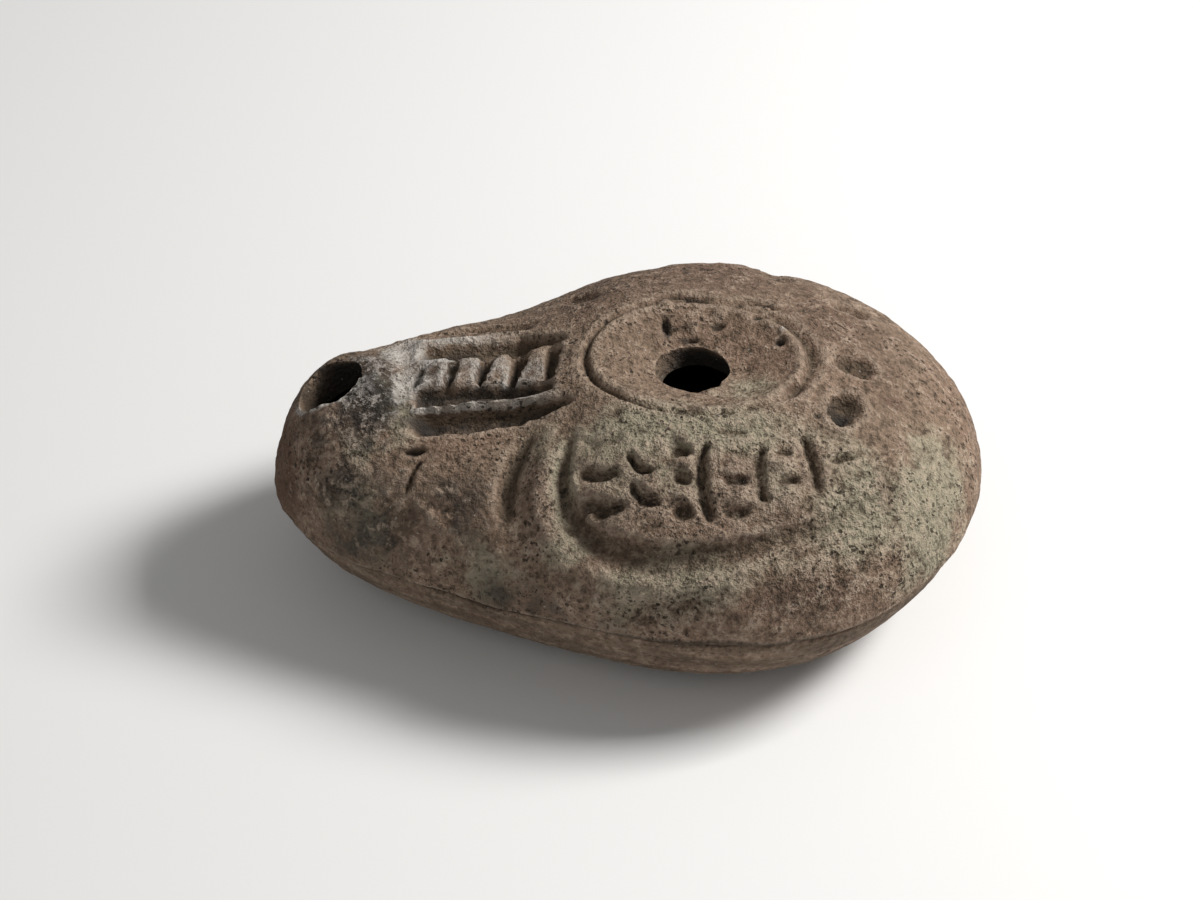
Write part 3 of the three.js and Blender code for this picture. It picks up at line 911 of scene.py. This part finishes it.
def clay_material(look):
    """Worn buff clay: mottled, pitted and speckled, with soot, dirt and pale crust in patches, and
    with painted shade in recesses, inside and along the seam, and painted highlights on rail
    crests and a rim.
    """
    material = bpy.data.materials.new("Fired clay")
    material.use_nodes = True
    material.node_tree.nodes.clear()
    graph = Graph(material.node_tree)
    place = graph.add("ShaderNodeTexCoord").socket("Object")

    def noise(size, detail=3.0, roughness=0.6):
        """Noise from 0 to 1 whose lumps are about that many millimetres across."""
        inputs = {"Vector": place, "Scale": 0.6 / (size * MM), "Detail": detail, "Roughness": roughness}
        return graph.add("ShaderNodeTexNoise", {}, inputs).value()

    wander = {"Vector": place, "Scale": 0.6 / (0.5 * MM), "Detail": 2.0}
    wander = graph.add("ShaderNodeTexNoise", {}, wander).socket("Color")
    reach = (0.9 * MM, 0.9 * MM, 0.9 * MM)
    moved = {0: wander, 1: reach, 2: place}
    crumbled = graph.add("ShaderNodeVectorMath", {"operation": "MULTIPLY_ADD"}, moved)

    def spots(spacing, least, most):
        """Ragged spots on a cell pattern: 1 in a spot, of a random size in each cell, 0 outside."""
        cells = graph.add("ShaderNodeTexVoronoi", {}, {"Vector": crumbled, "Scale": 1 / (spacing * MM)})
        chance = graph.add("ShaderNodeSeparateColor", {}, {"Color": cells.socket("Color")}).value("Red")
        return ((least + (most - least) * chance) - cells.value("Distance")).step(0, 0.08)

    def stored(name):
        return graph.add("ShaderNodeAttribute", {"attribute_name": name}).value("Fac")

    def tinted(factor, base, colour):
        inputs = {"Factor": factor, "A": base, "B": colour}
        return graph.add("ShaderNodeMix", {"data_type": "RGBA"}, inputs)

    broad, middling = noise(15), noise(4.5, 4)
    fine, grain = noise(1.5, 4, 0.65), noise(0.45, 3, 0.7)
    crumbs = fine * 0.5 + grain * 0.5
    clusters = noise(6, 2).step(0.4, 0.6)
    holes = spots(0.85, -0.14, 0.38) * (0.25 + 0.75 * clusters)
    pinholes = spots(0.45, -0.18, 0.44) * (0.35 + 0.65 * clusters)
    crevices = (1 - noise(0.6, 3, 0.6).step(0.34, 0.4)) * (0.3 + 0.7 * clusters)
    specks = spots(0.7, -0.3, 0.22)
    breakup = middling * 0.5 + fine * 0.3 + grain * 0.2
    carved = stored("carved")
    # Carved recesses and the relief's low places, which get painted shade with dirt below
    hollow = carved.step(0.25 * MM, 1.3 * MM)
    relief = stored("relief") + (fine - 0.5) * (0.25 * MM)
    crest = relief.step(0.04 * MM, 0.2 * MM)
    sunk = (-relief).step(0.05 * MM, 0.3 * MM)
    up = graph.add("ShaderNodeSeparateXYZ", {}, {"Vector": place}).value("Z")
    over_seam = stored("over_seam") + (fine - 0.5) * (0.6 * MM)
    # Along the seam: painted shadow under the overhanging upper half, with dirt in the joint
    under_step = (over_seam + noise(7, 3) * (1.8 * MM)).step(-0.1 * MM, 0.6 * MM)
    thick = stored("ledge")
    upper_edge = (over_seam - thick * (0.1 + 2.2 * middling) * MM).step(-0.4 * MM, 0.3 * MM)
    seam = under_step * (1 - upper_edge) * (noise(3, 3) + 0.25 * thick).step(0.3, 0.6)
    below = 1 - over_seam.step(-1.0 * MM, 0.0)
    stretched = graph.add(
        "ShaderNodeVectorMath", {"operation": "MULTIPLY"}, {0: place, 1: (0.12, 0.12, 1.0)}
    )
    banding = {"Vector": stretched, "Scale": 0.6 / (0.9 * MM), "Detail": 3.0}
    banding = graph.add("ShaderNodeTexNoise", {}, banding).value()

    def patch(name, softness, ragged=2.4):
        """A patch whose edge is broken up by the clay's own mottling."""
        strength = stored(name)
        edge = (strength + (breakup - 0.5) * ragged).step(0.45 - softness, 0.45 + softness)
        return edge * (strength * 3).clamped()

    colour = tinted(broad.step(0.35, 0.65), look.clay, look.clay_warm)
    colour = tinted(patch("umber", 0.4) * 0.6, colour, look.rust)
    colour = tinted(patch("crust", 0.3, 3.2) * (0.85 - 0.3 * sunk), colour, look.crust)
    colour = tinted(patch("rust", 0.3) * 0.75, colour, look.rust)
    colour = tinted(crumbs.step(0.5, 0.64) * 0.6, colour, look.clay_pale)
    colour = tinted((1 - crumbs.step(0.36, 0.5)) * 0.7, colour, look.dirt_and_shade)
    colour = tinted(crest * 0.35, colour, look.clay_pale)
    # Darker towards the bottom, in streaks, below 12 to 15 mm up
    low = 1 - up.step(12.0 * MM, 15 * MM)
    colour = tinted(low * (0.12 + 0.55 * banding.step(0.35, 0.65)), colour, look.dirt_and_shade)
    # Painted shade with dirt in the carved recesses and the relief's low places
    colour = tinted(hollow * (0.25 + 0.5 * fine), colour, look.dirt_and_shade)
    colour = tinted(sunk * 0.55, colour, look.dirt_and_shade)
    # Painted shadow with dirt along the seam, under the overhang
    colour = tinted(seam * 0.8, colour, look.pit_dirt_and_shadow)
    colour = tinted(patch("tip", 0.35) * 0.85, colour, look.burnt)
    # Soot round the wick hole, and painted shade in the channel's grooves and a dimple
    colour = tinted(patch("soot", 0.22, 4.5) * 0.72, colour, look.soot)
    blotches, flecks = noise(2.2, 4, 0.7), noise(1.1, 4, 0.7)
    scorched = patch("scorched", 0.45)
    colour = tinted(scorched * (1 - blotches.step(0.42, 0.5)) * 0.75, colour, look.soot)
    colour = tinted(scorched * flecks.step(0.53, 0.6) * 0.65, colour, look.clay_pale)
    wrinkled = flecks * 0.4 + fine * 0.25 + grain * 0.35
    high = (wrinkled.step(0.5, 0.54) + crest * 0.6).clamped()
    ash = tinted(high * (1 - hollow), look.soot, look.ash)
    colour = tinted(patch("ash", 0.3) * (0.7 + 0.25 * hollow), colour, ash)
    edge = relief.step(0.16 * MM, 0.34 * MM)
    colour = tinted(patch("ash", 0.45) * edge * (1 - 0.6 * hollow) * 0.7, colour, look.lime)
    colour = tinted(patch("lime", 0.3) * (0.85 - 0.6 * hollow), colour, look.lime)
    # Painted highlight with pale deposit on the crests of the channel's rails
    colour = tinted(stored("lip") * relief.step(0.06 * MM, 0.2 * MM) * 0.85, colour, look.lime)
    # Painted highlight with a worn pale lip on the wick hole's near rim
    colour = tinted(stored("rim") * (grain + fine - 0.5).step(0.3, 0.5), colour, look.lime)
    # Painted shade with dirt in carved marks on the discus and the channel, and in two dimples
    colour = tinted(patch("marks", 0.25, 1.5) * 0.85, colour, look.soot)
    # Painted shade with soot inside the hollow, seen through the holes
    colour = tinted(stored("inside") * 0.97, colour, look.soot)
    crumbly = stored("crumbly")
    colour = tinted(crumbly * crumbs.step(0.49, 0.55) * 0.5, colour, look.clay_pale)
    colour = tinted(crumbly * (1 - crumbs.step(0.38, 0.44)) * 0.45, colour, look.pit_dirt_and_shadow)
    dark = (holes * 0.85 + pinholes * 0.75 + crevices * (0.75 + 0.25 * crumbly)).clamped()
    colour = tinted(dark * (1 - 0.5 * below), colour, look.pit_dirt_and_shadow)
    colour = tinted(specks * 0.5, colour, look.lime)
    shade = 0.44 + 1.12 * (grain * 0.6 + fine * 0.4)
    shaded = {"Vector": colour, "Scale": shade}
    colour = graph.add("ShaderNodeVectorMath", {"operation": "SCALE"}, shaded)

    height = broad * 0.4 + middling * 0.5
    height = height + fine * (0.95 - 0.5 * below) + grain * (0.6 - 0.3 * below)
    height = height - holes * 0.16 - pinholes * 0.1 - crevices * 0.12 + specks * 0.04
    height = height + crumbly * (crumbs * 1.4 - holes * 0.15 - crevices * 0.15)
    height = height - seam * 0.4 + banding * below * 0.6 + stored("ash") * wrinkled * 0.8
    bump = {"Strength": 1.0, "Distance": look.grain_depth, "Height": height}
    bump = graph.add("ShaderNodeBump", {}, bump)
    inputs = {
        "Base Color": colour,
        "Roughness": 0.86 + 0.12 * middling,
        "Normal": bump.socket(),
        "Specular IOR Level": 0.25,
    }
    surface = graph.add("ShaderNodeBsdfPrincipled", {}, inputs)
    graph.add("ShaderNodeOutputMaterial", {}, {"Surface": surface.socket()})
    return material


def plain_material(name, colour, roughness):
    material = bpy.data.materials.new(name)
    material.use_nodes = True
    surface = material.node_tree.nodes["Principled BSDF"]
    surface.inputs["Base Color"].default_value = colour
    surface.inputs["Roughness"].default_value = roughness
    return material


# Making the lamp


def carved_mesh(points, outward, over_seam, faces, look, material):
    """The outside with its carving and pits, made by Geometry Nodes and kept as a plain mesh."""
    mesh = mesh_from("outside", points, faces)
    set_attribute(mesh, "outward", outward)
    set_attribute(mesh, "over_seam", over_seam * MM)
    set_attribute(mesh, "carved", np.zeros(len(points)))
    outside = add_object("outside", mesh)
    carving, pitting = carving_tree(material), pitting_tree(material)
    helpers = [outside]
    for name, (paths, flat_share, raggedness) in CARVING.items():
        helpers.append(path_object(name, paths))
        values = {
            "Paths": helpers[-1],
            "Flat share": flat_share,
            "Raggedness": raggedness,
            "Seam height": SEAM_HEIGHT * MM,
        }
        add_nodes(outside, name, carving, values)
    for name, (per_square_mm, smallest, largest, seed) in PITS.items():
        values = {
            "Density": per_square_mm / MM**2 * look.pitting,
            "Smallest": smallest * MM,
            "Largest": largest * MM,
            "Steepness": 0.45,
            "Seed": seed,
        }
        add_nodes(outside, name, pitting, values)
    carved = plain_mesh(outside, "carved")
    for helper in helpers:
        bpy.data.objects.remove(helper)
    return carved


def cut_out(mesh, tools):
    """Takes the tools' forms out of the mesh."""
    lamp = add_object("cutting", mesh)
    helpers = [add_object(tool.name, tool) for tool in tools]
    for helper in helpers:
        modifier = lamp.modifiers.new(helper.name, "BOOLEAN")
        modifier.operation = "DIFFERENCE"
        modifier.solver = "MANIFOLD"
        modifier.object = helper
    cut = plain_mesh(lamp, "lamp")
    for helper in [*helpers, lamp]:
        bpy.data.objects.remove(helper)
    return cut


def relief_height(mesh, rounds=8):
    """How far each vertex stands over the evened surface round it, in metres."""
    pairs = np.empty(len(mesh.edges) * 2, np.int32)
    mesh.edges.foreach_get("vertices", pairs)
    ends = np.concatenate([pairs[0::2], pairs[1::2]])
    others = np.concatenate([pairs[1::2], pairs[0::2]])
    places = vertex_places(mesh)
    neighbours = np.bincount(ends, minlength=len(places))
    even = places
    for _ in range(rounds):
        sums = [np.bincount(ends, weights=axis[others], minlength=len(places)) for axis in even.T]
        even = np.stack(sums, axis=1) / neighbours[:, None]
    normals = np.empty(len(places) * 3, np.float32)
    mesh.vertex_normals.foreach_get("vector", normals)
    return np.sum((places - even) * normals.reshape(-1, 3), axis=1)


def store_finish(mesh, outside):
    """Stores what the finish reads at each vertex: how deep it is carved, its height over the seam
    and over the surface round it, how much painted shade with soot it gets for lying inside,
    whether it is on the wick hole's near rim, where a highlight is painted, and each kind of
    patch."""
    places = vertex_places(mesh)
    tree = kdtree.KDTree(len(outside.vertices))
    for index, place in enumerate(vertex_places(outside)):
        tree.insert(place, index)
    tree.balance()
    found = [tree.find(place)[1:] for place in places]
    nearest_index = np.array([index for index, _ in found])
    away = np.array([distance for _, distance in found])
    kept = {name: get_attribute(outside, name)[nearest_index] for name in ("carved", "over_seam")}
    for name in [a.name for a in mesh.attributes if a.name in (*kept, "outward")]:
        mesh.attributes.remove(mesh.attributes[name])
    for name, values in kept.items():
        set_attribute(mesh, name, np.where(away > 0.5 * MM, 0.02, values))
    # Painted shade with soot inside the hollow, kept off the wall that each hole lets the light onto
    lit_side = np.zeros(len(places))
    for (centre, radius, _, _), shift in zip(HOLES, LIT_SIDE_REACH):
        x, y, _ = places.T / MM
        near = np.hypot(x - centre[0], y - centre[1]) < 2 * radius
        lit_side = np.where(near, smooth(shift, shift - radius, x - centre[0]), lit_side)
    inside = mix(smooth(0, 0.8 * MM, away), 0.85 * smooth(0.6 * MM, 4.5 * MM, away), lit_side)
    set_attribute(mesh, "inside", inside)
    set_attribute(mesh, "relief", relief_height(mesh))
    # The wick hole's near rim, which gets a painted highlight with a worn pale lip
    past_rim = off_axis(places / MM, WICK_CENTRE, WICK_LEAN) - WICK_RADIUS
    near_side = smooth(1.5, -1.5, places[:, 1] / MM) * smooth(20, 24, places[:, 2] / MM)
    set_attribute(mesh, "rim", hump(past_rim, 0.25, 0.4) * near_side * (away < 0.5 * MM))
    for name, parts in PATCHES.items():
        set_attribute(mesh, name, patch_strength(places / MM, parts))


def fit_in_box(mesh):
    """Brings the mesh to the CAD box exactly, by a scale of under a hundredth."""
    places = vertex_places(mesh)
    low, high = (np.array(corner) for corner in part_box(NODE))
    own_low, own_high = places.min(axis=0), places.max(axis=0)
    scale = (high - low) / (own_high - own_low)
    if np.abs(scale - 1).max() > 0.02:
        raise RuntimeError(f"the lamp's mesh is not the CAD box's size: scale {scale}")
    fitted = low + (places - own_low) * scale
    mesh.vertices.foreach_set("co", np.ravel(fitted).astype(np.float32))
    mesh.update()


def colour_setting(name, description, red, green, blue):
    return bpy.props.FloatVectorProperty(
        name=name, description=description, subtype="COLOR", size=4, min=0, max=1,
        default=(red, green, blue, 1),
    )


class OilLampLook(bpy.types.PropertyGroup):
    """The lamp's finish."""

    clay: colour_setting("Clay", "Main colour of the clay", 0.218, 0.153, 0.108)
    clay_warm: colour_setting("Warm clay", "Colour of the pinker areas", 0.215, 0.142, 0.100)
    clay_pale: colour_setting("Pale clay", "Colour of the worn, paler mottling", 0.37, 0.29, 0.222)
    # Also the colour of the painted shade in carved recesses and the relief's low places
    dirt_and_shade: colour_setting("Dirt", "Colour of the dirt in hollows and low down", 0.080, 0.060, 0.040)
    # Also the colour of the painted shade inside the hollow, in carved marks, dimples and grooves
    soot: colour_setting("Soot", "Colour of the soot round the wick hole", 0.022, 0.019, 0.017)
    # Also the colour of the painted shadow under the seam's overhang
    pit_dirt_and_shadow: colour_setting("Pits", "Colour of the dirt in the fine pits", 0.034, 0.024, 0.016)
    burnt: colour_setting("Burnt clay", "Colour of the nozzle's tip", 0.100, 0.052, 0.030)
    rust: colour_setting("Red stain", "Colour of the red stain on the side", 0.125, 0.076, 0.054)
    crust: colour_setting("Crust", "Colour of the greenish crust on the shoulder", 0.29, 0.265, 0.19)
    # Also the colour of the painted highlights on the rail crests and the wick hole's near rim
    lime: colour_setting("Lime", "Colour of the pale deposit behind the wick hole", 0.50, 0.47, 0.43)
    ash: colour_setting("Ash", "Colour of the grey high places in the soot", 0.27, 0.255, 0.24)
    pitting: bpy.props.FloatProperty(
        name="Pitting", description="How many pits there are, as a share of the usual",
        subtype="FACTOR", default=1.0, min=0, max=3,
    )
    grain_depth: bpy.props.FloatProperty(
        name="Grain depth", description="Depth of the clay's fine grain", subtype="DISTANCE",
        unit="LENGTH", default=0.001, min=0, max=0.005,
    )


class OilLampStage(bpy.types.PropertyGroup):
    """The studio round the lamp."""

    distance: bpy.props.FloatProperty(
        name="Distance", description="How far the camera is from the lamp", subtype="DISTANCE",
        unit="LENGTH", default=0.35, min=0.1, max=5,
    )
    elevation: bpy.props.FloatProperty(
        name="Elevation", description="How high the camera looks from", subtype="ANGLE",
        unit="ROTATION", default=math.radians(40.5), min=0, max=1.5,
    )
    azimuth: bpy.props.FloatProperty(
        name="Azimuth", description="How far round the lamp the camera is", subtype="ANGLE",
        unit="ROTATION", default=0.02, min=-3.2, max=3.2,
    )
    lens: bpy.props.FloatProperty(
        name="Lens", description="Focal length for a 36 mm wide sensor", subtype="DISTANCE_CAMERA",
        default=80.8, min=20, max=300,
    )
    key_power: bpy.props.FloatProperty(
        name="Key light", description="Power of the light from the right", subtype="POWER",
        unit="POWER", default=4.85, min=0, max=500,
    )
    fill_power: bpy.props.FloatProperty(
        name="Fill light", description="Power of the soft light from the front left", subtype="POWER",
        unit="POWER", default=1.0, min=0, max=500,
    )
    surroundings: bpy.props.FloatProperty(
        name="Surroundings", description="Brightness of the plain surroundings",
        default=0.22, min=0, max=5,
    )
    floor: colour_setting("Floor", "Colour of the floor", 0.80, 0.80, 0.80)


class OILLAMP_OT_lamp(bpy.types.Operator):
    """Makes the clay lamp in one piece"""

    bl_idname = "oil_lamp.make_lamp"
    bl_label = "Make the lamp"

    def execute(self, context):
        look = context.scene.oil_lamp_look
        material = clay_material(look)
        outside = carved_mesh(*outer_surface(), look, material)
        punches = [
            punch_mesh(f"punch {i}", np.array(centre), radius, lean)
            for i, (centre, radius, lean, _) in enumerate(HOLES)
        ]
        mesh = cut_out(outside, [hollow_mesh(), *punches])
        if len(mesh.polygons) < 0.9 * len(outside.polygons):
            raise RuntimeError(f"the cut lamp has {len(mesh.polygons)} faces, so a cut has failed")
        store_finish(mesh, outside)
        fit_in_box(mesh)
        mesh.materials.clear()
        mesh.materials.append(material)
        mesh.polygons.foreach_set("material_index", np.zeros(len(mesh.polygons), np.int32))
        mesh.shade_smooth()
        mesh.set_sharp_from_angle(angle=math.radians(65))
        lamp = add_object("clay_lamp", mesh)
        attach(lamp, "root")
        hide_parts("lamp")
        return {"FINISHED"}


def add_light(name, direction, distance, size, power, colour):
    """A soft square light that faces the lamp from a direction."""
    light = bpy.data.lights.new(name, "AREA")
    light.size = size
    light.energy = power
    light.color = colour
    thing = add_object(name, light)
    towards = Vector(direction).normalized()
    thing.location = LOOKED_AT + towards * distance
    thing.rotation_euler = towards.to_track_quat("Z", "Y").to_euler()
    return thing


class OILLAMP_OT_stage(bpy.types.Operator):
    """Makes the floor, the lights, the surroundings and the camera"""

    bl_idname = "oil_lamp.make_stage"
    bl_label = "Make the stage"

    def execute(self, context):
        stage = context.scene.oil_lamp_stage
        half = 3.0
        corners = [(-half, -half, 0), (half, -half, 0), (half, half, 0), (-half, half, 0)]
        mesh = bpy.data.meshes.new("Floor")
        mesh.from_pydata(corners, [], [(0, 1, 2, 3)])
        mesh.materials.append(plain_material("Floor", stage.floor, 0.9))
        floor = add_object("Floor", mesh)
        key = add_light("Key", (0.72, 0.14, 0.68), 0.6, 0.2, stage.key_power, (1, 0.985, 0.96))
        fill = add_light("Fill", (-0.5, -0.75, 0.7), 0.9, 0.8, stage.fill_power, (1, 0.98, 0.94))

        world = bpy.data.worlds.new("Surroundings")
        world.use_nodes = True
        background = world.node_tree.nodes["Background"]
        background.inputs["Color"].default_value = (1, 1, 1, 1)
        background.inputs["Strength"].default_value = stage.surroundings
        context.scene.world = world
        context.scene.view_settings.view_transform = "Standard"

        camera = bpy.data.cameras.new("Camera")
        camera.lens = stage.lens
        camera.sensor_width = 36
        camera.clip_start = 0.01
        thing = add_object("Camera", camera)
        level = math.cos(stage.elevation)
        across, back = -math.sin(stage.azimuth) * level, -math.cos(stage.azimuth) * level
        away = Vector((across, back, math.sin(stage.elevation)))
        thing.location = LOOKED_AT + away * stage.distance
        thing.rotation_euler = away.to_track_quat("Z", "Y").to_euler()
        context.scene.camera = thing
        return {"FINISHED"}


class OILLAMP_PT_sidebar(bpy.types.Panel):
    """Lists the lamp's settings and the buttons that make it"""

    bl_idname = "OILLAMP_PT_sidebar"
    bl_label = "Clay oil lamp"
    bl_space_type = "VIEW_3D"
    bl_region_type = "UI"
    bl_category = "Oil lamp"

    def draw(self, context):
        groups = [
            (context.scene.oil_lamp_look, OILLAMP_OT_lamp),
            (context.scene.oil_lamp_stage, OILLAMP_OT_stage),
        ]
        for settings, operator in groups:
            box = self.layout.box()
            for name in settings.__annotations__:
                box.prop(settings, name)
            box.operator(operator.bl_idname)


CLASSES = [OilLampLook, OilLampStage, OILLAMP_OT_lamp, OILLAMP_OT_stage, OILLAMP_PT_sidebar]


def register():
    for one in CLASSES:
        bpy.utils.register_class(one)
    bpy.types.Scene.oil_lamp_look = bpy.props.PointerProperty(type=OilLampLook)
    bpy.types.Scene.oil_lamp_stage = bpy.props.PointerProperty(type=OilLampStage)


def unregister():
    del bpy.types.Scene.oil_lamp_stage
    del bpy.types.Scene.oil_lamp_look
    for one in reversed(CLASSES):
        bpy.utils.unregister_class(one)


def main():
    register()
    bpy.ops.oil_lamp.make_lamp()
    bpy.ops.oil_lamp.make_stage()


if __name__ == "__main__":
    main()
